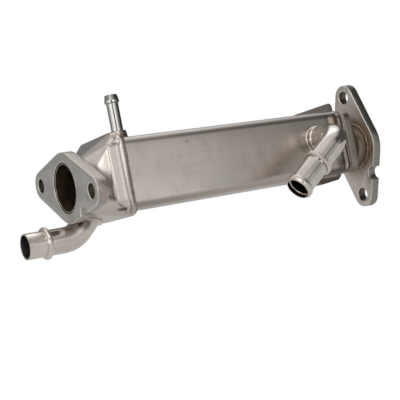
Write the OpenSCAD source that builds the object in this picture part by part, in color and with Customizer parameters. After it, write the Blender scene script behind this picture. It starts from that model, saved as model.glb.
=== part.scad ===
// Exhaust gas recirculation cooler in millimetres: flat gas tubes in a coolant shell.
// Gas flows along +X, +Z is up, and the origin is the middle of the inlet flange's mating face.

/* [Flanges] */
// Distance from the inlet mating face to the outlet mating face
overall_length = 238; // [200:1:320]
// Thickness of both flange plates
flange_thickness = 7; // [4:0.5:12]
// Distance between the two bolt holes of a flange
bolt_spacing = 72; // [64:1:90]
// Diameter of the bolt holes
bolt_hole_d = 9; // [6:0.5:12]
// Radius of the round middle of a flange
flange_middle_r = 21.7; // [20:0.1:26]
// Radius of the lobe round each bolt hole
flange_lobe_r = 9; // [8:0.1:14]
// Radius of the half-round notch in one flange edge
notch_r = 4.5; // [2:0.5:5]
// Distance of the notch from the flange's middle, along the bolt line
notch_offset = 22.5; // [19:0.5:26]
// Turn of the inlet flange about the gas axis, in degrees
inlet_turn = 10.5; // [-30:0.5:30]
// Turn of the outlet flange away from upright, in degrees
outlet_turn = 0; // [-30:0.5:30]
// Drop of the outlet flange below the inlet flange's axis
outlet_drop = 1.2; // [0:0.1:3]

/* [Gas necks] */
// Outside diameter of the round necks
neck_d = 31; // [26:0.5:34]
// Wall of the necks, the inlet cone and the outlet tank
neck_wall = 1.2; // [0.8:0.1:2]
// Depth of the neck's end below the mating face
neck_recess = 0.6; // [0.2:0.1:2]
// Length of outlet neck between the tank and the flange
outlet_neck_length = 9; // [6:0.5:20]
// Leg of the fillet welds on the necks
weld_leg = 1.6; // [1:0.1:2]

/* [Shell] */
// Height of the shell
shell_height = 44; // [42:0.5:60]
// Depth of the shell, front to back
shell_depth = 47; // [44:0.5:64]
// Radius of the shell's long edges
shell_corner_r = 5.5; // [3:0.5:9]
// Sheet thickness of the shell
shell_wall = 1.2; // [0.8:0.1:2]
// Height of the shell's middle above the gas axis
body_rise = 2; // [0:0.5:4]
// Radius where the shell's front and back turn in at the outlet end
shell_end_r = 5.5; // [3:0.5:8]
// Height of the coolant pockets above and below the shell
pocket_height = 5.5; // [2:0.5:8]
// Length of the upper pocket
upper_pocket_length = 26; // [20:1:40]
// Length of the lower pocket
lower_pocket_length = 27; // [22:1:50]
// Depth of the lower pocket, front to back
lower_pocket_depth = 27; // [16:0.5:32]

/* [Inlet hood] */
// Gap between the inlet flange's back and the hood
hood_gap = 4; // [3.5:0.5:10]
// Length of the hood
hood_length = 21; // [19:0.5:40]
// Depth of the hood, front to back
hood_depth = 50; // [49:0.5:70]
// Height of the hood
hood_height = 51; // [47:0.5:66]
// Radius of the hood's long edges
hood_corner_r = 6; // [4:0.5:9]
// Sheet thickness of the hood
hood_wall = 1.2; // [0.8:0.1:2]
// Width of the raised lip at the hood's open side
lip_width = 3; // [2:0.5:6]
// Height of the lip above the hood's collar
lip_height = 0.7; // [0.4:0.1:2]
// Length of the hood's straight part, from its full height to the lip's edge
hood_straight = 6.5; // [5:0.5:10]
// Radius of the hood's round end, where the neck passes through
hood_end_r = 18; // [17.5:0.5:21]
// Length of the flat panel on the hood's front and back
panel_length = 7.5; // [4:0.5:8]
// Height of the flat panel
panel_height = 34.5; // [24:0.5:38]
// Height of the panel above the hood's face
panel_relief = 0.7; // [0.3:0.1:1.5]
// Length by which the shell reaches into the hood
shell_overlap = 3; // [2:0.5:8]
// Thickness of the ring plate that closes the hood
ring_thickness = 1.5; // [1:0.1:3]
// Room for the ring plate between the shell and the hood's collar, at the front and back
ring_side = 0.4; // [0.3:0.1:2]
// Room for the ring plate above and below the shell
ring_over = 2.4; // [0.5:0.1:4]

/* [Tube stack] */
// Number of flat gas tubes
tube_count = 5; // [3:1:6]
// Distance between the middles of neighbouring tubes
tube_pitch = 7.6; // [7:0.1:8]
// Height of a flat tube
tube_height = 5.8; // [4:0.1:6.2]
// Width of a flat tube
tube_width = 36; // [30:0.5:37]
// Wall of a flat tube
tube_wall = 0.6; // [0.4:0.1:1]
// Length of one wave of the fin sheets
fin_pitch = 4; // [3:0.5:6]
// Thickness of the fin sheets
fin_thickness = 0.3; // [0.2:0.1:0.5]
// Thickness of the inlet tube sheet
inlet_sheet_thickness = 2; // [1.5:0.5:4]
// Thickness of the outlet tube sheet
outlet_sheet_thickness = 3; // [2:0.5:5]
// Margin of the tube sheets round the tubes
sheet_margin = 1.4; // [1.2:0.1:1.8]
// Thickness of the combs that space the tubes
comb_thickness = 1.5; // [1:0.5:3]

/* [Outlet tank] */
// Length of the tank from its sheet to the neck
tank_length = 16; // [13:0.5:30]
// Width of the tank's rounded rim along the gas axis
rim_width = 6; // [5:0.5:8]
// Width of the groove between the tube sheet and the rim
groove_width = 2.5; // [1.5:0.5:4]
// Depth of that groove
groove_depth = 1.5; // [0.5:0.25:2]
// Depth of the tank, front to back
tank_depth = 43; // [41:0.5:56]
// Height of the tank
tank_height = 44; // [42.5:0.5:56]
// Radius of the tank's corners
tank_corner_r = 7; // [4:0.5:9]
// Step from the tank's round collar down to the neck
collar_step = 0.8; // [0.5:0.1:2]

/* [Coolant pipes] */
// Outside diameter of both coolant pipes
pipe_d = 16; // [12:0.5:18]
// Wall of both coolant pipes
pipe_wall = 1; // [0.8:0.1:2]
// Distance of the inlet pipe behind the gas axis
pipe_back = 14; // [12:0.5:16]
// Distance of the inlet pipe below the gas axis
pipe_drop = 30.2; // [29.5:0.1:34]
// Distance of the inlet pipe's mouth in front of the inlet flange
pipe_reach = 26; // [20:0.5:50]
// Radius of the inlet pipe's bend
pipe_bend_r = 16; // [14:0.5:18]
// Slope of the inlet pipe past its bend, in degrees
pipe_rise = 43; // [41:1:45]
// Least distance between the pipe's hole and the hood's round end
entry_clear = 0.65; // [0.5:0.05:2]
// Radius that the inlet pipe loses in its bend
bend_draw = 0.1; // [0.1:0.05:0.2]
// Distance from the inlet pipe's mouth to its hose bead
bead_place = 13; // [9:0.5:16]
// Diameter of the hose bead
bead_d = 20; // [18.5:0.5:24]
// Distance of the outlet elbow from the shell's outlet end
elbow_inset = 25.5; // [22:0.5:60]
// Height of the outlet elbow above the shell's middle
elbow_rise = 3; // [0:0.1:8]
// Wall of the boss round the elbow's foot
boss_wall = 1.6; // [1.2:0.1:3]
// Height of the boss above the shell's face
boss_height = 3.4; // [2.5:0.1:5]
// Straight length between the shell and the elbow's bend
elbow_straight = 14; // [7.5:0.5:20]
// Radius of the elbow's bend
elbow_bend_r = 14; // [10:0.5:20]
// Length of the elbow's stub past the bend
stub_length = 40.5; // [34:0.5:60]
// Slope of the elbow's stub below the gas axis, in degrees
stub_slope = 35.5; // [0:0.5:60]
// Diameter of the step on the stub
stub_step_d = 19.5; // [19:0.5:26]
// Distance of the step from the elbow's bend
stub_step_place = 15; // [6:0.5:18]
// Diameter of the stub just behind its end bead
stub_end_d = 16; // [14.5:0.1:17]

/* [Vent] */
// Distance of the vent nipple behind the hood along the gas axis
vent_place = 10.5; // [7.5:0.5:30]
// Outside diameter of the vent nipple
vent_d = 7.6; // [6:0.1:10]
// Bore of the vent nipple
vent_bore_d = 4.6; // [3:0.1:5]
// Height of the nipple above the shell
vent_height = 29.5; // [20:0.5:50]
// Diameter of the nipple's barb
barb_d = 9.3; // [8:0.1:13]
// Diameter of the boss that carries the nipple
vent_boss_d = 12; // [12:0.5:18]

/* [Fits] */
// Gap all round in brazed and welded joints
braze_gap = 0.1; // [0.05:0.01:0.2]
// Gap between the combs and the shell
comb_gap = 0.4; // [0.2:0.1:0.8]

/* [Hidden] */
$fn = 64;

// Stations along the gas axis
hood_x0 = flange_thickness + hood_gap;
hood_x1 = hood_x0 + hood_length;
shell_x0 = hood_x1 - shell_overlap;
outlet_flange_x = overall_length - flange_thickness;
tank_x1 = outlet_flange_x - outlet_neck_length;
tank_x0 = tank_x1 - tank_length;
shell_x1 = tank_x0 - outlet_sheet_thickness;
cone_x0 = hood_x0 + hood_wall + 1;
cone_x1 = hood_x1 + 2;
tube_x0 = cone_x1;
tube_length = tank_x0 - tube_x0;

// Sizes that follow from the values above
neck_r = neck_d / 2;
bore_r = neck_r + braze_gap;
shell_top = body_rise + shell_height / 2;
shell_bottom = body_rise - shell_height / 2;
shell_front = -shell_depth / 2;
stack_height = (tube_count - 1) * tube_pitch + tube_height;
sheet_height = stack_height + 2 * sheet_margin;
sheet_depth = tube_width + 2 * sheet_margin;
pipe_r = pipe_d / 2;
elbow_x = shell_x1 - elbow_inset;
elbow_z = body_rise + elbow_rise;
stub_bore_r = min(stub_end_d, pipe_d) / 2 - pipe_wall;
vent_x = hood_x1 + vent_place;
box_x = hood_x1 - hood_straight;
panel_x = hood_x1 - lip_width - 1 - panel_length;
socket_x = shell_x0 - 0.5;
socket_depth = shell_depth + 2 * ring_side;
socket_height = shell_height + 2 * ring_over;

// Route of the coolant inlet pipe, back from the point where it meets the hood's sloping corner
hole_side = 0.4 * pipe_r;
hole_up = sqrt(pipe_r * pipe_r - hole_side * hole_side);
slope_z0 = -sqrt(hood_end_r * hood_end_r - pipe_back * pipe_back);
slope_z1 = body_rise - hood_height / 2;
slope_fall = (slope_z0 - slope_z1) / (box_x - hood_x0);
side_z0 = -sqrt(hood_end_r * hood_end_r - (pipe_back - hole_side) * (pipe_back - hole_side));
side_fall = (side_z0 - slope_z1) / (box_x - hood_x0);
entry_in = (slope_z0 - side_z0 + hole_up * cos(pipe_rise) + side_fall * entry_clear
  + tan(pipe_rise) * (entry_clear + hole_up * sin(pipe_rise))) / (slope_fall + tan(pipe_rise));
entry_x = hood_x0 + entry_in;
entry_z = slope_z0 - slope_fall * entry_in;
pipe_run = (entry_z + pipe_drop - pipe_bend_r * (1 - cos(pipe_rise))) / sin(pipe_rise);
pipe_bend_x = entry_x - pipe_run * cos(pipe_rise) - pipe_bend_r * sin(pipe_rise);

// Slanting inner end of the coolant inlet pipe, along the hood's sloping corner
mitre_depth = 1.75;
mitre_tilt = [16.5, -11.5, 0];
comb_places = [tube_x0 + tube_length / 3, tube_x0 + tube_length * 2 / 3];

steel = [0.72, 0.70, 0.67];
dark_steel = [0.55, 0.54, 0.52];
bright_steel = [0.82, 0.82, 0.81];
weld_tint = [0.52, 0.44, 0.34];

// Draws a flat outline in the plane across the gas axis and extrudes it along +X
module along_x(x, length) {
  translate([x, 0, 0])
    rotate([90, 0, 90])
      linear_extrude(height = length)
        children();
}

// Rectangle with round corners, its middle at the body's height
module body_outline(depth, height, r) {
  translate([0, body_rise]) {
    square([depth, height - 2 * r], center = true);
    square([depth - 2 * r, height], center = true);
    for (sy = [-1, 1])
      for (sz = [-1, 1])
        translate([sy * (depth / 2 - r), sz * (height / 2 - r)])
          circle(r = r);
  }
}

// Flange plate: round middle and two lobes joined by tangent edges, with a notch in one edge
module flange_plate() {
  half = bolt_spacing / 2;
  lean = asin((flange_middle_r - flange_lobe_r) / half);
  a = [flange_middle_r * sin(lean), flange_middle_r * cos(lean)];
  b = [half + flange_lobe_r * sin(lean), flange_lobe_r * cos(lean)];
  linear_extrude(height = flange_thickness)
    difference() {
      union() {
        circle(r = flange_middle_r);
        for (s = [-1, 1])
          translate([s * half, 0])
            circle(r = flange_lobe_r);
        polygon([b, a, [-a[0], a[1]], [-b[0], b[1]],
          -b, -a, [a[0], -a[1]], [b[0], -b[1]]]);
      }
      circle(r = bore_r);
      for (s = [-1, 1])
        translate([s * half, 0])
          circle(d = bolt_hole_d);
      translate([notch_offset, -(flange_middle_r - notch_offset * sin(lean)) / cos(lean)])
        circle(r = notch_r);
    }
}

// Ring of fillet weld round a neck, lying on a face at x and growing along +X or -X
module neck_weld(x, side) {
  translate([x, 0, 0])
    rotate([0, side * 90, 0])
      rotate_extrude()
        polygon([[bore_r, 0], [bore_r + weld_leg, 0], [bore_r, weld_leg]]);
}

module inlet_flange() {
  color(steel)
    translate([flange_thickness, 0, 0])
      rotate([inlet_turn, 0, 0])
        rotate([90, 0, -90])
          flange_plate();
}

module outlet_flange() {
  color(steel)
    translate([outlet_flange_x, 0, -outlet_drop])
      rotate([-outlet_turn, 0, 0])
        rotate([0, 90, 0])
          flange_plate();
}

module inlet_neck() {
  color(bright_steel)
    translate([neck_recess, 0, 0])
      rotate([0, 90, 0])
        difference() {
          cylinder(r = neck_r, h = cone_x0 - neck_recess);
          translate([0, 0, -1])
            cylinder(r = neck_r - neck_wall, h = cone_x0 - neck_recess + 2);
        }
}

module inlet_flange_weld() {
  color(weld_tint)
    neck_weld(flange_thickness, 1);
}

module outlet_flange_weld() {
  color(weld_tint)
    translate([0, 0, -outlet_drop])
      neck_weld(outlet_flange_x, -1);
}

// Closed shape of the hood, inset by g: an oblong box up to x_end that runs down to a round end
module hood_form(g, x_end) {
  hull() {
    along_x(box_x, x_end - box_x)
      body_outline(hood_depth - 2 * g, hood_height - 2 * g, hood_corner_r - g, $fn = 32);
    along_x(panel_x, 1)
      body_outline(hood_depth - 2 * g, panel_height + 1 - 2 * g, 2, $fn = 16);
    translate([hood_x0 + g, 0, 0])
      rotate([0, 90, 0])
        cylinder(r = hood_end_r - g, h = 0.1, $fn = 32);
  }
}

// Places its children where the coolant inlet pipe meets the hood, with +Z running into the hood
module at_pipe_entry() {
  translate([entry_x, pipe_back, entry_z])
    rotate([0, 90 - pipe_rise, 0])
      children();
}

// Solid bar of radius r along the coolant inlet pipe: straight, bend, straight into the hood
module inlet_pipe_bar(r, before_mouth) {
  start_x = -pipe_reach - before_mouth;
  translate([0, pipe_back, -pipe_drop]) {
    translate([start_x, 0, 0])
      rotate([0, 90, 0])
        cylinder(r = r, h = pipe_bend_x - start_x + 1);
    translate([pipe_bend_x, 0, pipe_bend_r])
      rotate([90, 0, 0])
        rotate([0, 0, -90])
          rotate_extrude(angle = pipe_rise)
            translate([pipe_bend_r, 0])
              circle(r = r - bend_draw);
  }
  at_pipe_entry()
    translate([0, 0, -pipe_run - 1])
      cylinder(r = r, h = pipe_run + 1 + 2 * pipe_r);
}

// Straight collar round the shell's end, from x to the hood's open side, grown by g from the shell's socket
module hood_collar(x, g) {
  along_x(x, hood_x1 - x)
    body_outline(socket_depth + 2 * g, socket_height + 2 * g, hood_corner_r - hood_wall + g);
}

// Outside of the hood, grown by g: sloping form, collar, lip and flat panels
module hood_outside(g) {
  hood_form(-g, socket_x + hood_wall + 0.3);
  hood_collar(socket_x - hood_wall - g, hood_wall + g);
  hood_collar(hood_x1 - lip_width - g, hood_wall + lip_height + g);
  translate([panel_x + panel_length / 2, 0, body_rise])
    cube([panel_length + 2 * g, hood_depth + 2 * (panel_relief + g), panel_height + 2 * g], center = true);
}

module hood() {
  color(steel)
    difference() {
      hood_outside(0);
      hood_form(hood_wall, socket_x + 0.3);
      translate([1, 0, 0])
        hood_collar(socket_x - 1, 0);
      rotate([0, 90, 0])
        cylinder(r = bore_r, h = hood_x0 + 2 * hood_wall);
      at_pipe_entry()
        translate([0, 0, -pipe_r])
          cylinder(r = pipe_r + braze_gap, h = 2.5 * pipe_r);
    }
}

module hood_neck_weld() {
  color(weld_tint)
    neck_weld(hood_x0, -1);
}

module hood_ring() {
  color(dark_steel)
    along_x(hood_x1 - ring_thickness, ring_thickness)
      difference() {
        body_outline(socket_depth - 2 * braze_gap, socket_height - 2 * braze_gap,
          hood_corner_r - hood_wall - braze_gap);
        body_outline(shell_depth + 2 * braze_gap, shell_height + 2 * braze_gap,
          shell_corner_r + braze_gap);
      }
}

// Gas cone from the round neck to the oblong tube sheet, grown by g
module cone_form(g, past) {
  hull() {
    translate([cone_x0 - past, 0, 0])
      rotate([0, 90, 0])
        cylinder(r = neck_r + g, h = 0.1 + past, $fn = 32);
    along_x(cone_x1 - 0.1, 0.1 + past)
      body_outline(sheet_depth + 2 * g, sheet_height + 2 * g, 4 + g, $fn = 32);
  }
}

module inlet_cone() {
  color(steel)
    difference() {
      cone_form(0, 0);
      cone_form(-neck_wall, 0.5);
    }
}

// Places for the flat tubes in the stack
module each_tube_place() {
  for (i = [0 : tube_count - 1])
    translate([0, (i - (tube_count - 1) / 2) * tube_pitch + body_rise])
      children();
}

// Outline of one flat tube with round sides, grown by g
module tube_outline(g) {
  h = tube_height + 2 * g;
  straight = tube_width - tube_height;
  square([straight, h], center = true);
  for (s = [-1, 1])
    translate([s * straight / 2, 0])
      circle(d = h, $fn = 32);
}

module inlet_tube_sheet() {
  color(steel)
    along_x(tube_x0, inlet_sheet_thickness)
      difference() {
        body_outline(sheet_depth, sheet_height, 4);
        each_tube_place()
          tube_outline(braze_gap);
      }
}

module gas_tube(i) {
  color(bright_steel)
    along_x(tube_x0, tube_length)
      translate([0, (i - 1 - (tube_count - 1) / 2) * tube_pitch + body_rise])
        difference() {
          tube_outline(0);
          tube_outline(-tube_wall);
        }
}

// Wavy sheet inside a flat tube: its middle line's corners, each pushed half a sheet to either side
module tube_fin(i) {
  height = tube_height - 2 * tube_wall - 2 * braze_gap - fin_thickness;
  half = fin_thickness / 2;
  waves = floor((tube_width - tube_height) / fin_pitch);
  start = -waves * fin_pitch / 2;
  wave = [[0, -1, -1], [0.35, -1, 1], [0.5, 1, 1], [0.85, 1, -1]];
  crest = [for (k = [0 : waves - 1]) for (q = wave)
    [start + (k + q[0]) * fin_pitch, q[1] * height / 2, q[2]]];
  upper = [for (p = crest) [p[0] - p[2] * half, p[1] + half]];
  lower = [for (k = [len(crest) - 1 : -1 : 0]) [crest[k][0] + crest[k][2] * half, crest[k][1] - half]];
  color(bright_steel)
    along_x(tube_x0 + 4, tube_length - 8)
      translate([0, (i - 1 - (tube_count - 1) / 2) * tube_pitch + body_rise])
        polygon(concat(upper, lower));
}

// Comb that spaces the tubes: teeth between them, on a spine at the front (-1) or the back (1)
module tube_comb(place, side) {
  spine_in = tube_width / 2 + comb_gap;
  spine_out = shell_depth / 2 - shell_wall - comb_gap;
  tooth_length = spine_out + 0.4 * tube_width;
  color(dark_steel)
    along_x(comb_places[place] - comb_thickness / 2, comb_thickness) {
      translate([side * (spine_in + spine_out) / 2, body_rise])
        square([spine_out - spine_in, stack_height - tube_height], center = true);
      for (i = [1 : tube_count - 1])
        translate([side * (spine_out - tooth_length / 2), (i - tube_count / 2) * tube_pitch + body_rise])
          square([tooth_length, tube_pitch - tube_height - 2 * braze_gap], center = true);
    }
}

module tube_comb_1() {
  tube_comb(0, 1);
}

module tube_comb_2() {
  tube_comb(1, -1);
}

// Coolant pocket above the shell, sized as if the shell's top were the plane z = 0
module upper_pocket(g) {
  rotate([90, 0, 0])
    linear_extrude(height = shell_depth - 2 * shell_corner_r - 2 * g, center = true)
      offset(delta = -g)
        polygon([[shell_x1 - upper_pocket_length, -3], [shell_x1 - upper_pocket_length, 0],
          [shell_x1 - 4, pocket_height], [shell_x1 - 1.5, pocket_height], [shell_x1, pocket_height - 2],
          [shell_x1, -3]]);
}

// Coolant pocket below the shell, sized as if the shell's bottom were the plane z = 0
module lower_pocket(g) {
  rotate([90, 0, 0])
    linear_extrude(height = lower_pocket_depth - 2 * g, center = true)
      offset(delta = -g)
        polygon([[shell_x1 - lower_pocket_length, 3], [shell_x1 - lower_pocket_length, 0],
          [shell_x1 - lower_pocket_length + 9, -pocket_height], [shell_x1 - 3, 1.5 - pocket_height],
          [shell_x1, 4 - pocket_height], [shell_x1, 3]]);
}

// Closed shape of the shell, inset by g, its outlet end turned in at front and back
module shell_form(g) {
  r = shell_end_r - g;
  side = shell_depth / 2 - g;
  x1 = shell_x1 - g;
  intersection() {
    along_x(shell_x0 - g, x1 - shell_x0 + g)
      body_outline(shell_depth - 2 * g, shell_height - 2 * g, shell_corner_r - g);
    translate([0, 0, body_rise])
      linear_extrude(height = shell_height + 2, center = true) {
        translate([shell_x0 - g - 1, -side])
          square([x1 - r - shell_x0 + g + 1, 2 * side]);
        translate([shell_x0 - g - 1, r - side])
          square([x1 - shell_x0 + g + 1, 2 * (side - r)]);
        for (s = [-1, 1])
          translate([x1 - r, s * (side - r)])
            circle(r = r);
      }
  }
  translate([0, 0, shell_top])
    upper_pocket(g);
  translate([0, 0, shell_bottom])
    lower_pocket(g);
}

module shell() {
  color(steel)
    difference() {
      shell_form(0);
      shell_form(shell_wall);
      along_x(shell_x1 - 2 * shell_wall, 4 * shell_wall)
        each_tube_place()
          tube_outline(braze_gap);
      translate([elbow_x, shell_front + 2 * shell_wall, elbow_z])
        rotate([90, 0, 0])
          cylinder(r = pipe_r - pipe_wall, h = 4 * shell_wall);
      translate([vent_x, 0, shell_top - 2 * shell_wall])
        cylinder(d = vent_bore_d, h = 4 * shell_wall);
    }
}

module outlet_tube_sheet() {
  color(dark_steel)
    along_x(shell_x1, outlet_sheet_thickness)
      difference() {
        body_outline(sheet_depth + 2, sheet_height + 2, 5);
        each_tube_place()
          tube_outline(braze_gap);
      }
}

// Outlet tank before hollowing, inset by g: groove, rim, slope to a round collar, neck
module tank_form(g) {
  rim_x = tank_x0 + groove_width;
  cut = 2 * (g + groove_depth);
  along_x(tank_x0 - g, groove_width + 2 * g + 1)
    body_outline(tank_depth - cut, tank_height - cut, tank_corner_r - g - groove_depth);
  along_x(rim_x + g, rim_width - 2 * g)
    body_outline(tank_depth - 2 * g, tank_height - 2 * g, tank_corner_r - g);
  hull() {
    along_x(rim_x + rim_width - 2 * g - 0.6, 0.1)
      body_outline(tank_depth - 2 * g - 1, tank_height - 2 * g - 1, tank_corner_r - g - 0.5, $fn = 32);
    translate([tank_x1 - g, 0, -outlet_drop])
      rotate([0, -90, 0])
        cylinder(r = neck_r + collar_step - g, h = 0.1, $fn = 32);
  }
  translate([tank_x1 - g - 0.5, 0, -outlet_drop])
    rotate([0, 90, 0])
      cylinder(r = neck_r - g, h = overall_length - neck_recess - tank_x1 + 2 * g + 0.5);
}

module outlet_tank() {
  color(steel)
    difference() {
      tank_form(0);
      tank_form(neck_wall);
    }
}

module coolant_inlet_pipe() {
  bead_x = bead_place - pipe_reach;
  color(bright_steel)
    difference() {
      union() {
        inlet_pipe_bar(pipe_r, 0);
        translate([bead_x, pipe_back, -pipe_drop])
          rotate([0, 90, 0])
            rotate_extrude()
              translate([bead_d / 2 - 1.8, 0])
                circle(r = 1.8);
      }
      inlet_pipe_bar(pipe_r - pipe_wall, 1);
      at_pipe_entry()
        translate([0, 0, mitre_depth])
          rotate(mitre_tilt)
            translate([-2.5 * pipe_r, -2.5 * pipe_r, 0])
              cube([5 * pipe_r, 5 * pipe_r, 2.5 * pipe_r]);
    }
}

// Saddle of weld round the pipe where it meets the hood
module coolant_inlet_weld() {
  color(weld_tint)
    difference() {
      intersection() {
        at_pipe_entry()
          translate([0, 0, -pipe_r])
            cylinder(r = pipe_r + weld_leg, h = 2.5 * pipe_r);
        hood_form(-1.8, hood_x1);
      }
      at_pipe_entry()
        translate([0, 0, -pipe_r])
          cylinder(r = pipe_r + braze_gap, h = 3 * pipe_r);
      translate([hood_x0 - 10, -hood_depth / 2, -hood_height])
        cube([10, hood_depth, hood_height]);
      hood_outside(braze_gap);
    }
}

// Places its children at the elbow's root, with -Y leaving the shell and -X along the stub
module at_elbow() {
  translate([elbow_x, shell_front, elbow_z])
    rotate([0, -stub_slope, 0])
      children();
}

module coolant_outlet_boss() {
  color(bright_steel)
    at_elbow()
      rotate([90, 0, 0])
        rotate_extrude()
          difference() {
            translate([pipe_r + braze_gap, 0])
              square([boss_wall, boss_height]);
            translate([pipe_r + braze_gap + boss_wall, boss_height])
              circle(r = boss_wall / 2);
          }
}

// Solid bar of radius r along the elbow, from past inside the shell's face to stub beyond the bend
module elbow_bar(r, past, stub) {
  translate([0, past, 0])
    rotate([90, 0, 0])
      cylinder(r = r, h = elbow_straight + past);
  translate([-elbow_bend_r, -elbow_straight, 0])
    rotate([0, 0, -90])
      rotate_extrude(angle = 90)
        translate([elbow_bend_r, 0])
          circle(r = r);
  translate([-elbow_bend_r, -elbow_straight - elbow_bend_r, 0])
    rotate([0, -90, 0])
      cylinder(r = r, h = stub);
}

// Stub of the elbow along its own axis: collar, plain length and rolled end bead
module elbow_stub() {
  step_r = stub_step_d / 2;
  end_r = stub_end_d / 2;
  translate([-elbow_bend_r, -elbow_straight - elbow_bend_r, 0])
    rotate([0, -90, 0])
      rotate_extrude() {
        polygon([[0, stub_step_place], [step_r - 0.4, stub_step_place], [step_r, stub_step_place + 0.4],
          [step_r, stub_step_place + 2], [end_r + 0.3, stub_step_place + 2.8], [end_r, stub_step_place + 4],
          [end_r, stub_length], [0, stub_length]]);
        for (back = [1.7, 3])
          translate([end_r - 0.75, stub_length - back])
            circle(r = 1.7);
        translate([end_r - 0.75, stub_length - 3])
          square([1.7, 1.3]);
      }
}

module coolant_outlet_elbow() {
  color(bright_steel)
    at_elbow()
      difference() {
        union() {
          elbow_bar(pipe_r, 0, stub_step_place);
          elbow_stub();
          translate([0, -boss_height - 1.8, 0])
            rotate([90, 0, 0])
              rotate_extrude()
                translate([pipe_r - 0.2, 0])
                  circle(r = 1.1);
        }
        elbow_bar(stub_bore_r, 1, stub_length + 1);
        translate([-elbow_bend_r - stub_length + 3, -elbow_straight - elbow_bend_r, 0])
          rotate([0, -90, 0])
            cylinder(r = stub_bore_r + 0.6, h = 6);
      }
}

// Barbed vent nipple, turned about its upright axis
module vent_nipple() {
  r = vent_d / 2;
  color(bright_steel)
    translate([vent_x, 0, shell_top])
      rotate_extrude()
        polygon([[vent_bore_d / 2, 0], [r, 0], [r, vent_height - 5.5], [barb_d / 2, vent_height - 5],
          [barb_d / 2, vent_height - 3.5], [barb_d / 2 - 0.7, vent_height],
          [vent_bore_d / 2, vent_height]]);
}

module vent_boss() {
  r = vent_d / 2 + braze_gap;
  color(dark_steel)
    translate([vent_x, 0, shell_top])
      rotate_extrude()
        polygon([[r, 0], [vent_boss_d / 2, 0], [vent_boss_d / 2, 1.5], [r + 1.4, 6.2], [r, 6.2]]);
}

inlet_flange();
inlet_neck();
inlet_flange_weld();
hood();
hood_neck_weld();
hood_ring();
inlet_cone();
inlet_tube_sheet();
shell();
for (i = [1 : tube_count])
  gas_tube(i);
for (i = [1 : tube_count])
  tube_fin(i);
tube_comb_1();
tube_comb_2();
outlet_tube_sheet();
outlet_tank();
outlet_flange();
outlet_flange_weld();
coolant_inlet_pipe();
coolant_inlet_weld();
coolant_outlet_boss();
coolant_outlet_elbow();
vent_boss();
vent_nipple();
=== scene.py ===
import math
import random

import bmesh
import bpy
from mathutils import Matrix, Vector


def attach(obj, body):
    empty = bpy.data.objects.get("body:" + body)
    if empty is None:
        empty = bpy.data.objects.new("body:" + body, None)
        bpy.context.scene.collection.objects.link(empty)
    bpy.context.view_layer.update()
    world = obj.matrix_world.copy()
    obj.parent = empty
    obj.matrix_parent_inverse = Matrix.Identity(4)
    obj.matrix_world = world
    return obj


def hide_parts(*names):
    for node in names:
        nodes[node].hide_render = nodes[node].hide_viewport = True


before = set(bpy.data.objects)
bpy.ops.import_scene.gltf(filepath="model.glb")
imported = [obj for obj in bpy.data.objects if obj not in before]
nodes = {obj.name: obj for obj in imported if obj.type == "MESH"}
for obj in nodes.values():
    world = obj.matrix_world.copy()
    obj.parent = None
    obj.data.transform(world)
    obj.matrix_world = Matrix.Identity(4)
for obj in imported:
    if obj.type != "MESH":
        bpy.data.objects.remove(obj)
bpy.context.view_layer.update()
scene = bpy.context.scene
scene.view_settings.view_transform = "Standard"
mm = 0.001
print("frame loaded:", len(nodes), "solids")

camera = {
    "place": (-228.3, -514.6, -41.8),  # mm in the part's frame
    "azimuth": -31.94,
    "elevation": -1.98,
    "roll": 11.13,
    "lens": 83.62,
    "sensor": 36,
    "clip": (0.02, 60),  # m
}


def placeCamera():
    az, el, roll = (math.radians(camera[k]) for k in ("azimuth", "elevation", "roll"))
    back = Vector((math.sin(az) * math.cos(el), -math.cos(az) * math.cos(el), math.sin(el)))
    right = Vector((math.cos(az), math.sin(az), 0))
    up = back.cross(right)
    across = right * math.cos(roll) - up * math.sin(roll)
    upward = right * math.sin(roll) + up * math.cos(roll)
    eye = bpy.data.objects.new("camera", bpy.data.cameras.new("camera"))
    scene.collection.objects.link(eye)
    turn = Matrix((across, upward, back)).transposed().to_4x4()
    eye.matrix_world = Matrix.Translation(Vector(camera["place"]) * mm) @ turn
    eye.data.lens, eye.data.sensor_width = camera["lens"], camera["sensor"]
    eye.data.clip_start, eye.data.clip_end = camera["clip"]
    scene.camera = eye


placeCamera()
print("camera placed")


class Wire:  # a shader socket that does arithmetic
    def __init__(self, tree, socket=None):
        self.tree, self.socket = tree, socket

    def add(self, kind, settings=None, inputs=None, out=0):  # any node, wired up
        node = self.tree.nodes.new(kind)
        for key, value in (settings or {}).items():
            setattr(node, key, value)
        for key, value in (inputs or {}).items():
            if isinstance(value, Wire):
                self.tree.links.new(value.socket, node.inputs[key])
            else:
                node.inputs[key].default_value = value
        return Wire(self.tree, node.outputs[out])

    def calc(self, operation, one, two):
        return self.add("ShaderNodeMath", {"operation": operation}, {0: one, 1: two})

    def __add__(self, other): return self.calc("ADD", self, other)
    def __radd__(self, other): return self.calc("ADD", other, self)
    def __sub__(self, other): return self.calc("SUBTRACT", self, other)
    def __rsub__(self, other): return self.calc("SUBTRACT", other, self)
    def __mul__(self, other): return self.calc("MULTIPLY", self, other)
    def __rmul__(self, other): return self.calc("MULTIPLY", other, self)


def vectorMath(way, operation, other=(0, 0, 0), out=0):  # out 1 is the plain number of a distance or a dot product
    return way.add("ShaderNodeVectorMath", {"operation": operation}, {0: way, 1: other}, out=out)


def ramp(value, zero, one):  # soft step from 0 to 1, rising or falling
    if zero > one:
        return 1 - ramp(value, one, zero)
    return value.add("ShaderNodeMapRange", {"interpolation_type": "SMOOTHSTEP"},
                     {"Value": value, "From Min": zero, "From Max": one})


def blend(mask, under, over):  # colour under with colour over where the mask is 1
    def rgba(c):
        return c if isinstance(c, Wire) else (*c, 1)
    return mask.add("ShaderNodeMix", {"data_type": "RGBA"}, {0: mask, 6: rgba(under), 7: rgba(over)}, out=2)


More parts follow.
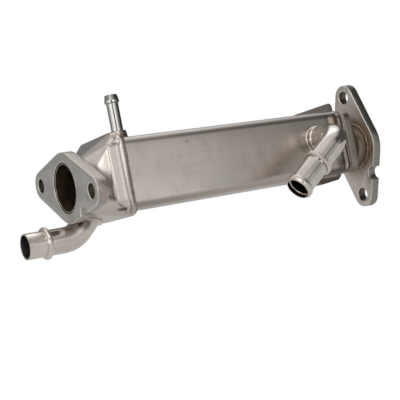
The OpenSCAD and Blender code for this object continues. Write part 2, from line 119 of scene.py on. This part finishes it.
def noise(at, stretch, detail):  # stretch is cells per metre along each axis
    spot = vectorMath(at, "MULTIPLY", stretch)
    return at.add("ShaderNodeTexNoise", {}, {"Vector": spot, "Scale": 1.0, "Detail": detail})


def reach(value, ends, unit=1):  # two ends step from 0 to 1, four rise and fall again
    ends = [v * unit for v in ends]
    mask = ramp(value, ends[0], ends[1])
    return mask * ramp(value, ends[3], ends[2]) if len(ends) == 4 else mask


def measured(spot, kind, about):  # the distance that a mark reaches over, in metres
    if kind == "near":  # from a point
        return vectorMath(spot["at"], "DISTANCE", [v * mm for v in about], out=1)
    if kind == "slant":  # along a direction
        return vectorMath(spot["at"], "DOT_PRODUCT", about, out=1)
    across = vectorMath(spot["at"], "MULTIPLY", (0, 1, 1))  # "round": from a line along the gas axis
    return vectorMath(across, "DISTANCE", (0, about[0] * mm, about[1] * mm), out=1)


# A mark colours the steel where all its reaches hold. x, y, z, near, round and slant are in mm.
# nx, ny, nz are the way a face points, and flat is how squarely it points along the gas axis.
# patch breaks the mark up, grain and along change its colour, mix is how much of it shows.
def addMark(spot, shade, rough, mark):
    masks = [reach(spot[k], mark[k], mm) for k in ("x", "y", "z") if k in mark]
    masks += [reach(spot[k], mark[k]) for k in ("nx", "ny", "nz", "flat") if k in mark]
    for kind in ("near", "round", "slant"):
        if kind in mark:
            about, ends = mark[kind]
            masks.append(reach(measured(spot, kind, about), ends, mm))
    if "patch" in mark:
        stretch, detail, ends = mark["patch"]
        between, inside = mark.get("patchShare", (0, 1))
        masks.append(reach(noise(spot["at"], stretch, detail), ends) * (inside - between) + between)
    mask = masks[0]
    for more in masks[1:]:
        mask = mask * more
    over = mark["shade"]
    if "grain" in mark:
        stretch, detail, ends, light = mark["grain"]
        over = blend(reach(noise(spot["at"], stretch, detail), ends), over, light)
    for ends, further in mark.get("along", []):
        over = blend(reach(spot["x"], ends, mm), over, further)
    if "rough" in mark:
        rough = rough + mask * mark["rough"]
    return blend(mask * mark["mix"], shade, over), rough


steel = {  # how every finish mixes its brush streaks, clouds and flecks
    "detail": {"brush": 4, "cloud": 3, "fleck": 2},
    "cloudShare": 0.6, "streakShare": 0.4, "mottle": (0.36, 0.64),
    "fleckEnds": (0.62, 0.8), "fleckShade": 0.5,
    "bumpDepth": 0.12, "fleckBump": 0.35,  # depth in mm
}


def makeSteel(name, look, marks=None):
    mat = bpy.data.materials.new(name)
    mat.use_nodes = True
    tree = mat.node_tree
    shader = tree.nodes["Principled BSDF"]
    start = Wire(tree)
    at = start.add("ShaderNodeTexCoord", out=3)
    facing = start.add("ShaderNodeTexCoord", out=1)
    spot = {"at": at}
    for k, axis in enumerate("xyz"):
        spot[axis] = at.add("ShaderNodeSeparateXYZ", {}, {0: at}, out=k)
        spot["n" + axis] = at.add("ShaderNodeSeparateXYZ", {}, {0: facing}, out=k)
    spot["flat"] = at.calc("ABSOLUTE", spot["nx"], 0)
    streak, cloud, fleck = (noise(at, look[k], steel["detail"][k]) for k in ("brush", "cloud", "fleck"))
    mottle = cloud * steel["cloudShare"] + streak * steel["streakShare"]
    shade = blend(reach(mottle, steel["mottle"]), look["dark"], look["light"])
    fleckColour = tuple(c * steel["fleckShade"] for c in look["dark"])
    shade = blend(reach(fleck, steel["fleckEnds"]) * look["specks"], shade, fleckColour)
    rough = look["rough"] + (streak - 0.5) * look["roughSpread"] + (cloud - 0.5) * look["roughCloud"]
    for mark in (marks or {}).values():
        shade, rough = addMark(spot, shade, rough, mark)
    bump = at.add("ShaderNodeBump", {}, {"Strength": look["bump"], "Distance": steel["bumpDepth"] * mm,
                                         "Height": streak + fleck * steel["fleckBump"]})
    tree.links.new(shade.socket, shader.inputs["Base Color"])
    tree.links.new(rough.socket, shader.inputs["Roughness"])
    tree.links.new(bump.socket, shader.inputs["Normal"])
    shader.inputs["Metallic"].default_value = 1.0
    return mat


brushed = {
    "light": (0.68, 0.61, 0.555), "dark": (0.59, 0.53, 0.48),
    "brush": (10, 700, 700), "cloud": (14, 45, 45), "fleck": (700, 700, 700), "specks": 0.15,
    "rough": 0.34, "roughSpread": 0.14, "roughCloud": 0.1, "bump": 0.12,
}
pressed = {
    "light": (0.82, 0.745, 0.685), "dark": (0.74, 0.67, 0.61),
    "brush": (60, 420, 420), "cloud": (70, 70, 70), "fleck": (800, 800, 800), "specks": 0.08,
    "rough": 0.25, "roughSpread": 0.10, "roughCloud": 0.08, "bump": 0.05,
}
inletPlate = {
    "light": (0.56, 0.55, 0.505), "dark": (0.49, 0.48, 0.44),
    "brush": (400, 400, 400), "cloud": (110, 110, 110), "fleck": (1500, 1500, 1500), "specks": 0.3,
    "rough": 0.40, "roughSpread": 0.10, "roughCloud": 0.08, "bump": 0.16,
}
outletPlate = {
    "light": (0.65, 0.59, 0.535), "dark": (0.55, 0.495, 0.445),
    "brush": (400, 400, 400), "cloud": (90, 90, 90), "fleck": (1500, 1500, 1500), "specks": 0.3,
    "rough": 0.40, "roughSpread": 0.10, "roughCloud": 0.08, "bump": 0.16,
}
polished = {
    "light": (0.40, 0.39, 0.375), "dark": (0.33, 0.32, 0.31),
    "brush": (260, 60, 260), "cloud": (120, 120, 120), "fleck": (1200, 1200, 1200), "specks": 0.12,
    "rough": 0.09, "roughSpread": 0.05, "roughCloud": 0.05, "bump": 0.04,
}
drawn = {
    "light": (0.69, 0.635, 0.585), "dark": (0.58, 0.53, 0.485),
    "brush": (160, 120, 160), "cloud": (90, 90, 90), "fleck": (900, 900, 900), "specks": 0.10,
    "rough": 0.26, "roughSpread": 0.06, "roughCloud": 0.10, "bump": 0.03,
}
glossyDrawn = {**drawn, "rough": 0.14}
# heat colour, darkened further as painted shade between the shell and the outlet flange
heatedShaded = {
    "light": (0.335, 0.30, 0.265), "dark": (0.255, 0.225, 0.195),
    "brush": (120, 400, 400), "cloud": (110, 110, 110), "fleck": (900, 900, 900), "specks": 0.2,
    "rough": 0.32, "roughSpread": 0.12, "roughCloud": 0.1, "bump": 0.08,
}
welded = {
    "light": (0.44, 0.36, 0.29), "dark": (0.16, 0.12, 0.09),
    "brush": (1300, 1300, 1300), "cloud": (850, 850, 850), "fleck": (1600, 1600, 1600), "specks": 0.4,
    "rough": 0.34, "roughSpread": 0.2, "roughCloud": 0.12, "bump": 0.3,
}
saddled = {
    "light": (0.70, 0.635, 0.58), "dark": (0.61, 0.55, 0.495),
    "brush": (200, 200, 200), "cloud": (110, 110, 110), "fleck": (1200, 1200, 1200), "specks": 0.12,
    "rough": 0.27, "roughSpread": 0.10, "roughCloud": 0.08, "bump": 0.06,
}
sooty = {
    "light": (0.13, 0.088, 0.058), "dark": (0.055, 0.038, 0.026),
    "brush": (300, 300, 300), "cloud": (120, 120, 120), "fleck": (1000, 1000, 1000), "specks": 0.4,
    "rough": 0.6, "roughSpread": 0.2, "roughCloud": 0.1, "bump": 0.25,
}
neckRim = {**polished, "light": (0.50, 0.46, 0.42), "dark": (0.38, 0.345, 0.31)}

# The marks below are tones set against the photo: heat colour and soot, and some of its light.
mottleGrain = ((150, 90, 95), 5)  # stretch and detail
shellMarks = {
    "outletHalf": {"x": (45, 185), "mix": 0.85, "shade": (0.445, 0.40, 0.365)},  # darker towards the outlet: painted shade where the light falls off
    "lowCorner": {"x": (125, 45), "z": (10, -22), "mix": 0.8, "shade": (0.86, 0.78, 0.715)},  # painted light: paler in the lower corner by the hood
    "byElbow": {"near": ((163, -23.5, 0), (16, 3)), "mix": 0.22, "shade": (0.36, 0.37, 0.27)},
    "darkMottle": {"patch": (*mottleGrain, (0.50, 0.70)), "mix": 0.20, "shade": (0.36, 0.33, 0.305)},
    "paleMottle": {"patch": (*mottleGrain, (0.48, 0.30)), "mix": 0.15, "shade": (0.80, 0.74, 0.69)},
    # painted shade: the upper half darker, and a darker strip below the top edge
    "upperHalf": {"x": (60, 130), "z": (-6, 18), "mix": 0.4, "shade": (0.38, 0.335, 0.295)},
    "upperStrip": {"z": (12.0, 19.5), "mix": 0.28, "shade": (0.33, 0.295, 0.265)},
    "upperCorner": {"x": (140, 185), "z": (6, 19), "mix": 0.45, "shade": (0.24, 0.21, 0.18)},
    "greenHeat": {"near": ((101, -23.5, -14), (14, 2)), "mix": 0.35, "shade": (0.55, 0.57, 0.46)},
    # painted shade and a tan painted highlight on the front of the shell's flared end
    "endBrown": {"x": (188.5, 191.0, 199.5, 201.0), "y": (-19, -21), "z": (2, 9, 20, 22),
                 "mix": 0.6, "shade": (0.16, 0.13, 0.105)},
    "endTan": {"x": (191.4, 194.0, 195.6, 198.0), "y": (-19, -21), "z": (0, 15, 18, 22),
               "mix": 0.9, "shade": (0.84, 0.69, 0.53)},
    "endWeld": {"x": (197.5, 201), "mix": 0.8, "shade": (0.17, 0.14, 0.11)},  # browned at the end weld
    # painted shadow under the elbow
    "endFoot": {"x": (190.5, 196.5), "y": (-19, -21), "z": (-4, -13), "mix": 0.75, "shade": (0.09, 0.07, 0.055)},
    # painted shade by facing: the turn of the upper edge dark, the top greyer
    "upperTurn": {"nz": (0.08, 0.25, 0.38, 0.52), "mix": 0.35, "shade": (0.33, 0.285, 0.25)},
    "top": {"nz": (0.45, 0.70), "mix": 0.9, "shade": (0.37, 0.355, 0.34)},
    "upperPocket": {"z": (24.3, 25.2), "mix": 0.6, "shade": (0.235, 0.205, 0.18)},
    # painted shadow: the lower pocket dark under the elbow
    "lowerPocket": {"z": (-20.6, -22.2), "mix": 1, "shade": (0.13, 0.105, 0.085)},
    # painted shade: faces turned downwards darker, darkest under the elbow towards the outlet
    "underside": {"nz": (-0.10, -0.60), "mix": 0.9, "shade": (0.285, 0.25, 0.22),
                  "along": [((35, 110), (0.40, 0.355, 0.315)), ((150, 185), (0.10, 0.08, 0.065))]},
    "scuff": {"near": ((76.8, -23.5, 15.9), (1.6, 0.4)), "mix": 0.45, "shade": (0.2, 0.18, 0.16)},
}
hoodMarks = {
    # painted shade by facing on the upper corners
    "upperCorners": {"nz": (0.50, 0.66), "mix": 0.9, "shade": (0.36, 0.335, 0.31)},
    "top": {"nz": (0.72, 0.84), "mix": 0.9, "shade": (0.42, 0.425, 0.435)},  # painted shade: the top greyer and colder than the sides
    # painted reflection: a brown dark patch at the near upper corner
    "nearCorner": {"near": ((26, -21, 26), (8, 2)), "mix": 0.5, "shade": (0.36, 0.275, 0.21)},
    # painted shade: the lip darker so that its highlight is dimmer
    "lip": {"x": (28.5, 29.2), "mix": 0.7, "shade": (0.56, 0.51, 0.465)},
    "lowLip": {"x": (27.9, 28.6), "z": (12, -4), "patch": ((500, 500, 800), 3, (0.38, 0.62)),
               "patchShare": (0.55, 0.90), "mix": 1, "shade": (0.33, 0.295, 0.265)},  # spattered
    "lipHeat": {"x": (30.2, 31.8), "patch": ((900, 500, 300), 3, (0.30, 0.60)),
                "mix": 0.8, "shade": (0.25, 0.20, 0.16)},  # beside the lip's weld
    # painted shade: darker towards the bottom and on faces turned downwards
    "foot": {"z": (-12, -20), "mix": 0.85, "shade": (0.49, 0.445, 0.40)},
    "underside": {"nz": (-0.25, -0.50), "mix": 0.55, "shade": (0.49, 0.45, 0.405)},
    "frontPanel": {"x": (21.2, 22.0, 25.0, 26.4), "y": (-24.9, -25.2), "mix": 0.85, "shade": (0.57, 0.52, 0.475)},
    # painted shade by facing on the front slope
    "frontSlope": {"nx": (-0.09, -0.22), "ny": (-0.45, -0.65), "x": (15.5, 19.5),
                   "mix": 0.9, "shade": (0.53, 0.485, 0.44)},
    # painted shadow of the flange on the lower front slope
    "slopeFoot": {"nx": (-0.09, -0.22), "ny": (-0.45, -0.65), "z": (3, -10),
                  "mix": 0.7, "shade": (0.26, 0.225, 0.195)},
    # painted shade on the upper fold, dimming its highlights
    "upperFold": {"nx": (-0.12, -0.28), "ny": (-0.50, -0.64), "nz": (0.22, 0.32, 0.56, 0.68), "z": (18.0, 20.0),
                  "mix": 0.8, "shade": (0.37, 0.335, 0.305)},
    "panelSlotShade": {"x": (20.8, 21.6, 25.8, 26.6), "y": (-20, -22), "z": (-20.6, -19.9, -18.9, -18.2),
                  "mix": 0.8, "shade": (0.07, 0.05, 0.04)},  # painted shade of a slot below the front panel, which is not cut
}
tankMarks = {
    "neck": {"x": (211.8, 215.0), "mix": 0.9, "shade": (0.26, 0.215, 0.175)},  # heat colour and painted shade behind the rim
    # painted shadow under the elbow
    "foot": {"z": (-12, -21), "mix": 0.7, "shade": (0.15, 0.12, 0.095)},
    # painted shade in the gap between the rim plates
    "seamShade": {"x": (208.4, 207.2), "mix": 1, "shade": (0.045, 0.036, 0.028)},
}
sheetMarks = {
    "rim": {"x": (203.0, 203.8, 205.2, 205.8), "mix": 0.6, "shade": (0.60, 0.54, 0.45)},
    # painted shade in the gap between the rim plates
    "seamShade": {"x": (205.4, 206.2), "mix": 0.9, "shade": (0.055, 0.044, 0.034)},
}
inletEdge = {
    "mix": 0.9, "light": (0.42, 0.38, 0.355), "dark": (0.345, 0.31, 0.285), "wornGlint": (0.76, 0.71, 0.66),
    "grain": (250, 2200, 2200), "holes": [(35.4, 6.56), (-35.4, -6.56)],  # y, z of the bolt holes in mm
}
outletEdge = {
    "mix": 0.95, "light": (0.30, 0.28, 0.255), "dark": (0.245, 0.225, 0.20), "wornGlint": (0.53, 0.50, 0.46),
    "grain": (120, 1500, 1500), "holes": [(0, 34.8), (0, -37.2)],
}


def cutMarks(edge):  # sides of a cut plate, its worn edges brightened with a painted highlight, and the walls of its bolt holes
    side = (0.60, 0.25)
    marks = {
        "side": {"flat": side, "mix": edge["mix"], "shade": edge["dark"], "rough": 0.06,
                 "grain": (edge["grain"], 3, (0.38, 0.62), edge["light"])},
        # worn edges, with a painted highlight
        "wornGlint": {"flat": (0.12, 0.32, 0.93, 0.99), "mix": 0.8, "shade": edge["wornGlint"], "rough": -0.12},
    }
    for k, hole in enumerate(edge["holes"]):
        marks["hole%d" % k] = {"flat": side, "round": (hole, (4.9, 4.58)), "mix": 0.9, "shade": (0.15, 0.12, 0.095)}
    return marks


inletFlangeMarks = {
    **cutMarks(inletEdge),
    "boreShade": {"round": ((0, 0), (15.90, 15.65)), "nx": (-0.70, -0.40),
             "mix": 0.95, "shade": (0.05, 0.042, 0.034)},  # painted shade of the gap round the neck
    "lobe": {"y": (-34, -40), "ny": (-0.62, -0.90), "mix": 0.85, "shade": (0.35, 0.30, 0.262),
             "grain": ((700, 700, 700), 4, (0.40, 0.62), (0.455, 0.40, 0.36))},  # end of the near lobe
}
outletFlangeMarks = {
    "weldHeat": {"round": ((0, -1.2), (12, 16, 17, 23)), "mix": 0.7, "shade": (0.40, 0.29, 0.185)},
    **cutMarks(outletEdge),
    # painted shade: the upward-facing sides of the plate dark
    "upperSide": {"nz": (0.15, 0.40), "flat": (0.5, 0.25), "mix": 0.8, "shade": (0.085, 0.08, 0.072)},
}
neckMarks = {
    "end": {"x": (1.6, 1.0), "mix": 0.6, "shade": (0.05, 0.042, 0.034)},  # painted shade of the gap in the inlet
}
inletPipeMarks = {
    "corner": {"near": ((11.4, 6.4, -22.0), (6.0, 2.5)), "mix": 0.9, "shade": (0.15, 0.12, 0.10)},  # painted shadow where the pipe meets the hood below the flange
    # painted shade inside the pipe's mouth
    "boreShade": {"round": ((13.9, -30.2), (7.4, 6.9)), "x": (-9, -14), "mix": 1, "shade": (0.045, 0.037, 0.03),
             "rough": 0.2},
}
downStub = (0.815, 0, 0.58)
elbowMarks = {  # painted shade: dark lines beside the collar
    "above": {"slant": (downStub, (118.5, 118.9, 119.4, 120.0)), "mix": 0.85, "shade": (0.14, 0.125, 0.11)},
    "below": {"slant": (downStub, (114.5, 115.0, 115.6, 116.0)), "mix": 0.85, "shade": (0.14, 0.125, 0.11)},
}

shellSteel = makeSteel("shellSteel", brushed, shellMarks)
hoodSteel = makeSteel("hoodSteel", pressed, hoodMarks)
tankSteel = makeSteel("tankSteel", heatedShaded, tankMarks)
inletFlangeSteel = makeSteel("inletFlangeSteel", inletPlate, inletFlangeMarks)
outletFlangeSteel = makeSteel("outletFlangeSteel", outletPlate, outletFlangeMarks)
pipeSteel = makeSteel("pipeSteel", drawn)
inletPipeSteel = makeSteel("inletPipeSteel", drawn, inletPipeMarks)
elbowSteel = makeSteel("elbowSteel", glossyDrawn, elbowMarks)
nippleSteel = makeSteel("nippleSteel", polished)
weldSteel = makeSteel("weldSteel", welded)
saddleSteel = makeSteel("saddleSteel", saddled)
sheetSteel = makeSteel("sheetSteel", welded, sheetMarks)
neckSteel = makeSteel("neckSteel", sooty, neckMarks)
innerSteel = makeSteel("innerSteel", sooty)
lipSteel = makeSteel("lipSteel", neckRim)
print("finishes made")

finishOf = {
    "inlet_flange": inletFlangeSteel, "outlet_flange": outletFlangeSteel, "shell": shellSteel, "hood": hoodSteel,
    "outlet_tank": tankSteel, "outlet_tube_sheet": sheetSteel, "coolant_inlet_pipe": inletPipeSteel,
    "coolant_outlet_elbow": elbowSteel, "coolant_outlet_boss": pipeSteel, "vent_nipple": nippleSteel,
    "vent_boss": weldSteel, "inlet_flange_weld": weldSteel, "outlet_flange_weld": weldSteel,
    "hood_neck_weld": weldSteel, "coolant_inlet_weld": saddleSteel, "inlet_neck": neckSteel,
}
edgeOf = {  # width in mm of the rounded edge on solids that keep their own mesh
    "inlet_flange": 0.5, "outlet_flange": 0.7, "coolant_inlet_pipe": 0.25, "coolant_outlet_elbow": 0.25,
    "vent_nipple": 0.25, "vent_boss": 0.5, "shell": 1.0, "coolant_outlet_boss": 0.3,
}
edgeWork = {"join": 0.005, "flatAngle": 0.6, "segments": 3, "sharpAngle": 32}  # mm and degrees


def finishSolid(name):
    solid = nodes[name]
    solid.data.materials.clear()
    solid.data.materials.append(finishOf.get(name, innerSteel))
    for face in solid.data.polygons:
        face.use_smooth = True
    if name in edgeOf:
        cutPlate = name.endswith("flange")  # its faces meet in sharp edges
        if cutPlate:
            solid.modifiers.new("join", "WELD").merge_threshold = edgeWork["join"] * mm
        flat = solid.modifiers.new("flat", "DECIMATE")
        flat.decimate_type, flat.angle_limit = "DISSOLVE", math.radians(edgeWork["flatAngle"])
        edge = solid.modifiers.new("edge", "BEVEL")
        edge.width, edge.segments = edgeOf[name] * mm, edgeWork["segments"]
        edge.limit_method, edge.angle_limit = "ANGLE", math.radians(edgeWork["sharpAngle"])
        edge.harden_normals = True
        edge.use_clamp_overlap = not cutPlate


for name in nodes:
    finishSolid(name)
print("solids finished")

hoodForm = {"voxel": 0.36, "steps": 18, "ease": 0.5}  # voxel in mm
tankForm = {"voxel": 0.5, "steps": 8, "ease": 0.5}


def softCopy(name, node, form, finish):  # copy of a pressed sheet piece with rounded bends
    made = bpy.data.objects.new(name, nodes[node].data.copy())
    scene.collection.objects.link(made)
    grid = made.modifiers.new("grid", "REMESH")
    grid.mode, grid.voxel_size, grid.use_smooth_shade = "VOXEL", form["voxel"] * mm, True
    ease = made.modifiers.new("ease", "SMOOTH")
    ease.factor, ease.iterations = form["ease"], form["steps"]
    bpy.context.view_layer.update()
    shaped = bpy.data.meshes.new_from_object(made.evaluated_get(bpy.context.evaluated_depsgraph_get()))
    made.modifiers.clear()
    made.data = shaped
    shaped.materials.clear()
    shaped.materials.append(finish)
    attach(made, "root")
    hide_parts(node)
    print(name, "has", len(shaped.polygons), "faces")
    return made


panel = {  # pressed panels on the hood's sides, which lean in towards the flange; mm
    "x": (20.5, 28.0), "z": (-15.25, 19.25), "face": 25.0,
    "marginX": 0.4, "marginZ": 0.5, "lean": 0.5, "leanFade": 0.4,
    "groove": 25.6, "grooveX": (0.6, 1.6), "grooveDepth": 0.4, "grooveKeep": 0.2,
}


def leanPanels(skin):
    (x0, x1), (z0, z1), face, groove = panel["x"], panel["z"], panel["face"], panel["groove"]
    before, after = panel["grooveX"]
    for v in skin.data.vertices:
        x, y, z = v.co / mm
        onX = x0 - panel["marginX"] < x < x1 + panel["marginX"]
        onZ = z0 - panel["marginZ"] < z < z1 + panel["marginZ"]
        if abs(y) > face and onX and onZ:
            share = min(1, max(0, (x1 - x) / (x1 - x0))) * min(1, (abs(y) - face) / panel["leanFade"])
            v.co.y -= math.copysign(panel["lean"] * share * mm, y)
        byLip = x1 - before < x < x1 + after and z0 < z < z1
        if byLip and face - panel["grooveDepth"] < abs(y) < groove:  # shallow groove beside the lip
            v.co.y = math.copysign((abs(y) * panel["grooveKeep"] + groove * (1 - panel["grooveKeep"])) * mm, y)


leanPanels(softCopy("hoodSkin", "hood", hoodForm, hoodSteel))
softCopy("tankSkin", "outlet_tank", tankForm, tankSteel)


def loopPoints(halfY, halfZ, r, midZ, step):  # rounded rectangle across the gas axis, with outward ways
    points = []
    for turn, (sy, sz) in enumerate([(1, 1), (-1, 1), (-1, -1), (1, -1)]):
        mid = (sy * (halfY - r), midZ + sz * (halfZ - r))
        arc = max(3, int(r * math.pi / 2 / step))
        for k in range(arc):
            a = math.pi / 2 * (turn + k / arc)
            points.append((mid[0] + r * math.cos(a), mid[1] + r * math.sin(a), math.cos(a), math.sin(a)))
        a = math.pi / 2 * (turn + 1)
        run = 2 * ((halfY - r) if turn % 2 == 0 else (halfZ - r))
        ahead = (-math.sin(a), math.cos(a))
        end = (mid[0] + r * math.cos(a), mid[1] + r * math.sin(a))
        count = max(1, int(run / step))
        for k in range(count):
            go = run * k / count
            points.append((end[0] + ahead[0] * go, end[1] + ahead[1] * go, math.cos(a), math.sin(a)))
    return points


def ringPoints(r, y, z, step):
    count = int(2 * math.pi * r / step)
    turns = [2 * math.pi * k / count for k in range(count)]
    return [(y + r * math.cos(a), z + r * math.sin(a), math.cos(a), math.sin(a)) for a in turns]


uneven = {  # how a bead strays from an even ripple
    "turn": 6.28,  # range of each random start
    "drift": (0.6, 0.31),  # of the ripple: size, rate
    "slow": (0.10, 5), "quick": (0.06, 17), "sway": (0.12, 11),  # size, times round the loop
}


def layBead(name, bead, finish, replaced=None):  # rippled weld bead along a loop across the gas axis
    if "loop" in bead:
        points = loopPoints(*bead["loop"], bead["step"])
    else:
        points = ringPoints(*bead["ring"], bead["step"])
    count = len(points)
    draw = random.Random(bead["seed"])
    wander = [draw.uniform(0, uneven["turn"]) for k in range(4)]

    def wave(i, kind, start):
        size, turns = uneven[kind]
        return size * math.sin(2 * math.pi * turns * i / count + start)

    mesh = bmesh.new()
    rings = []
    drift, rate = uneven["drift"]
    for i, (y, z, oy, oz) in enumerate(points):
        s = i * bead["step"]
        swell = abs(math.sin(math.pi * s / bead["pitch"] + drift * math.sin(s * rate + wander[0])))
        lap = bead["radius"] * (1 - bead["ripple"] + bead["ripple"] * swell)
        lap *= 1 + wave(i, "slow", wander[1]) + wave(i, "quick", wander[2])
        shift = bead["radius"] * wave(i, "sway", wander[3])
        ring = []
        for k in range(bead["sides"]):
            a = 2 * math.pi * k / bead["sides"]
            out, along = lap * math.cos(a), lap * bead["width"] * math.sin(a) + shift
            ring.append(mesh.verts.new(((bead["x"] + along) * mm, (y + oy * out) * mm, (z + oz * out) * mm)))
        rings.append(ring)
    for i in range(count):
        here, there = rings[i], rings[(i + 1) % count]
        for k in range(bead["sides"]):
            n = (k + 1) % bead["sides"]
            mesh.faces.new((here[k], here[n], there[n], there[k])).smooth = True
    bmesh.ops.recalc_face_normals(mesh, faces=mesh.faces)
    data = bpy.data.meshes.new(name)
    mesh.to_mesh(data)
    mesh.free()
    made = bpy.data.objects.new(name, data)
    scene.collection.objects.link(made)
    data.materials.append(finish)
    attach(made, "root")
    if replaced:
        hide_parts(replaced)
    print(name, "has", len(data.polygons), "faces")


# Beads in mm. A loop is half width, half height, corner radius and height of its middle. A ring is radius, y and z.
lipWeld = {
    "loop": (24.3, 24.6, 5.2, 2), "x": 32.35, "radius": 0.95, "width": 1.0,
    "ripple": 0.40, "pitch": 1.5, "step": 0.3, "sides": 10, "seed": 3,
}
ringBraze = {
    "loop": (23.55, 22.05, 5.5, 2), "x": 32.05, "radius": 0.55, "width": 0.8,
    "ripple": 0.10, "pitch": 2.2, "step": 0.4, "sides": 8, "seed": 5,
}
inletNeckWeld = {
    "ring": (16.0, 0, 0), "x": 7.55, "radius": 0.95, "width": 1.0,
    "ripple": 0.25, "pitch": 1.6, "step": 0.3, "sides": 10, "seed": 7,
}
neckLip = {
    "ring": (14.72, 0, 0), "x": 0.75, "radius": 0.32, "width": 1.0,
    "ripple": 0.0, "pitch": 3.0, "step": 0.5, "sides": 10, "seed": 13,
}
hoodNeckWeld = {**inletNeckWeld, "x": 10.45, "seed": 8}
outletNeckWeld = {
    "ring": (16.0, 0, -1.2), "x": 230.5, "radius": 0.9, "width": 1.0,
    "ripple": 0.35, "pitch": 1.9, "step": 0.3, "sides": 10, "seed": 11,
}
layBead("lipWeldBead", lipWeld, weldSteel)
layBead("ringBrazeBead", ringBraze, weldSteel)
layBead("inletNeckBead", inletNeckWeld, weldSteel, "inlet_flange_weld")
layBead("inletNeckLip", neckLip, lipSteel)
layBead("hoodNeckBead", hoodNeckWeld, weldSteel, "hood_neck_weld")
layBead("outletNeckBead", outletNeckWeld, weldSteel, "outlet_flange_weld")

stage = {"drop": -0.30, "size": 40, "shade": (0.75, 0.75, 0.75, 1), "rough": 0.9, "glow": 0.10}
studio = {
    "base": 0.09,  # dim room
    "sky": (0.60, 0.95, 0.75),  # from and to in height, strength
    "front": {  # wide soft wall of light at the height of the part
        "aim": (-0.60, -0.80, 0.05), "cone": (-0.10, 1.0), "low": (-0.45, -0.05), "high": (0.42, 0.12),
        "strength": 1.40,
    },
    "strips": [  # upright strips and the dark gap between them: way it comes from, from and to in cosine, strength
        ((-0.90, -0.44), 0.978, 0.998, 1.1),
        ((-0.05, -1.00), 0.980, 0.998, 1.2),
        ((-0.50, -0.87), 0.982, 0.997, -1.30),
    ],
    "glows": [  # way it comes from, from and to in cosine, strength
        ((-0.55, 0.80, 0.15), 0.20, 1.0, 0.30),
        ((-0.95, -0.10, 0.35), 0.55, 1.0, 0.35),
        ((0.45, 0.30, 0.84), 0.88, 0.97, 0.80),
        ((0.08, -0.86, 0.50), 0.92, 0.99, 0.55),
    ],
    "boxes": [  # name, place in m, size in m, radiance
        ("keyBox", (-0.48, -0.62, 0.82), (0.90, 0.80), 1.2),
        ("stripBox", (-0.05, -0.80, 0.70), (0.40, 0.06), 7.0),
        ("topBox", (0.55, 0.25, 0.95), (0.60, 0.30), 0.4),
        ("sideBox", (1.00, -0.75, 0.10), (0.10, 0.50), 0.3),
    ],
    "boxAim": (0.11, 0, 0),  # middle of the part, m
}


def onlySeen(start, seenAs, elsewhere):  # white to the eye, dim in reflections
    seen = start.add("ShaderNodeLightPath", out=0)
    return seen * seenAs + (1 - seen) * elsewhere


def layFloor():
    bpy.ops.mesh.primitive_plane_add(size=stage["size"], location=(0, 0, stage["drop"]))
    floor = bpy.context.object
    floor.name = "floor"
    mat = bpy.data.materials.new("paleFloor")
    mat.use_nodes = True
    tree = mat.node_tree
    shader = tree.nodes["Principled BSDF"]
    shader.inputs["Base Color"].default_value = stage["shade"]
    shader.inputs["Roughness"].default_value = stage["rough"]
    shader.inputs["Emission Strength"].default_value = 1
    tree.links.new(onlySeen(Wire(tree), 1.0, stage["glow"]).socket, shader.inputs["Emission Color"])
    floor.data.materials.append(mat)


def lightRoom():
    world = bpy.data.worlds.new("studio")
    scene.world = world
    world.use_nodes = True
    tree = world.node_tree
    start = Wire(tree)
    way = start.add("ShaderNodeTexCoord", out=0)
    height = way.add("ShaderNodeSeparateXYZ", {}, {0: way}, out=2)
    level = vectorMath(vectorMath(way, "MULTIPLY", (1, 1, 0)), "NORMALIZE")  # the way, without its height

    def towards(ways, aim):
        return vectorMath(ways, "DOT_PRODUCT", Vector(aim).normalized(), out=1)

    low, full, strength = studio["sky"]
    glow = studio["base"] + ramp(height, low, full) * strength
    front = studio["front"]
    belt = ramp(height, *front["low"]) * ramp(height, *front["high"])
    glow = glow + ramp(towards(way, front["aim"]), *front["cone"]) * belt * front["strength"]
    for (x, y), low, full, strength in studio["strips"]:
        glow = glow + ramp(towards(level, (x, y, 0)), low, full) * belt * strength
    for aim, low, full, strength in studio["glows"]:
        glow = glow + ramp(towards(way, aim), low, full) * strength
    tree.links.new(onlySeen(start, 1.0, glow).socket, tree.nodes["Background"].inputs["Color"])


def hangBoxes():
    for name, place, size, radiance in studio["boxes"]:
        lamp = bpy.data.objects.new(name, bpy.data.lights.new(name, "AREA"))
        lamp.data.shape, lamp.data.energy = "RECTANGLE", radiance * math.pi * size[0] * size[1]
        lamp.data.size, lamp.data.size_y = size
        lamp.location = place
        lamp.rotation_euler = (Vector(studio["boxAim"]) - Vector(place)).to_track_quat("-Z", "Y").to_euler()
        scene.collection.objects.link(lamp)


layFloor()
lightRoom()
hangBoxes()
print("stage set")
